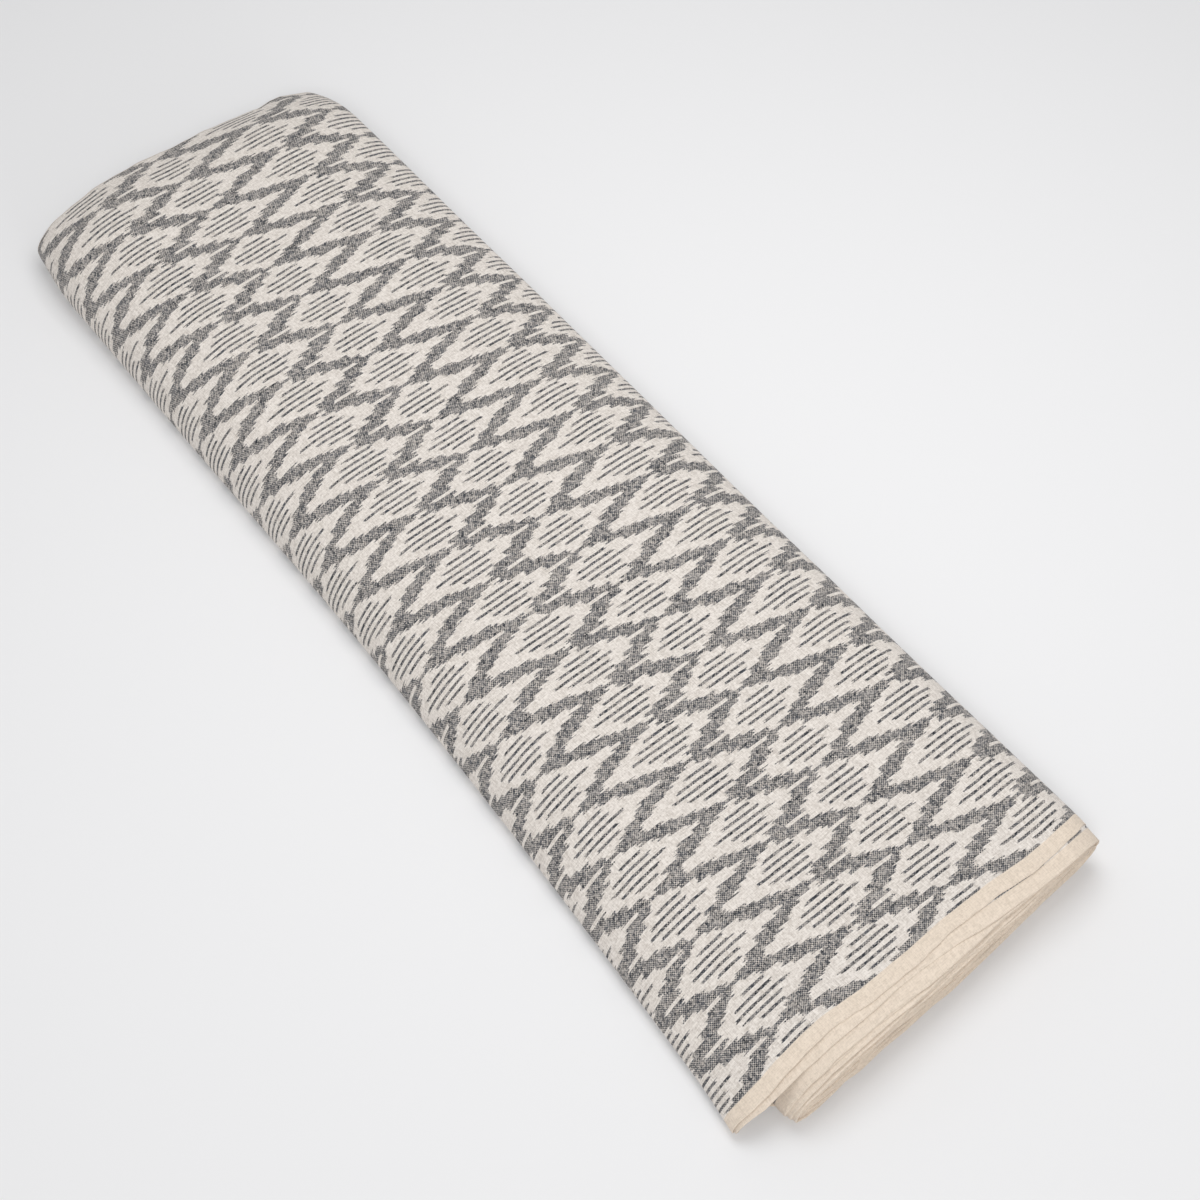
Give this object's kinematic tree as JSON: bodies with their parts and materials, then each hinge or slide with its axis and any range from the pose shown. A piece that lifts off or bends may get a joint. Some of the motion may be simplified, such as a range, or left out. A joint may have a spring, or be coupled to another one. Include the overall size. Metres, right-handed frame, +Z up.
{
  "type": "flat-wound bolt of ikat fabric",
  "caption": "Flat-wound bolt of woven cotton cloth, soft folds along both sides, its plain edges slipped out in steps at one end.",
  "frame": {"origin": "centre of the bolt's footprint on the surface that it lies on", "axes": "+X along the bolt to its open end with the plain edges, +Y across the bolt, +Z up"},
  "size_m": [1.1414, 0.43, 0.0704],
  "materials": {
    "ikat_cotton": "handwoven cotton, matt, cream with grey ikat bands"
  },
  "bodies": {
    "root": {"wound_cloth": "ikat_cotton"}
  },
  "joints": []
}
